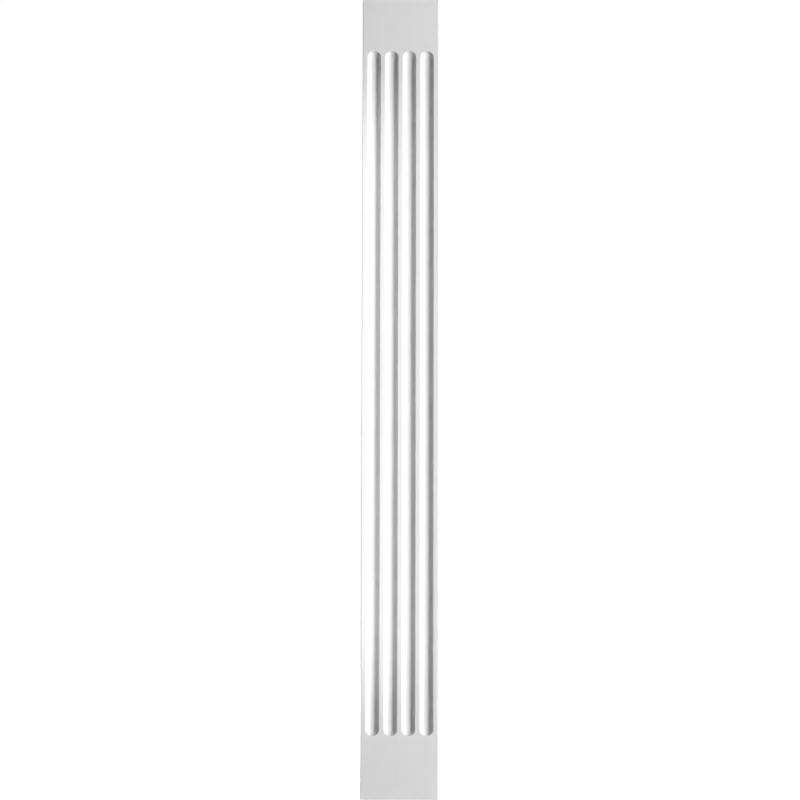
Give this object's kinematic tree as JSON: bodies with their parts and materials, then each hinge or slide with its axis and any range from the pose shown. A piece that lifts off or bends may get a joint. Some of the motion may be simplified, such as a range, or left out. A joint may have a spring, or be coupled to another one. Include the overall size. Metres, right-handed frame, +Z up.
{
  "type": "pilaster",
  "caption": "Flat pilaster shaft with round-ended flutes down its face, between a plain block at the top and a taller one at the bottom.",
  "frame": {"origin": "centre of the flat back face, which fixes to the wall", "axes": "+Z up the length of the shaft, +X across its face to the right as seen from the front, +Y out of its back into the wall, so the fluted face looks along -Y"},
  "size_m": [0.192, 0.03, 2],
  "materials": {
    "white_primer": "smooth matte white factory primer over moulded rigid polyurethane foam"
  },
  "bodies": {
    "root": {"pilaster_shaft": "white_primer"}
  },
  "joints": []
}
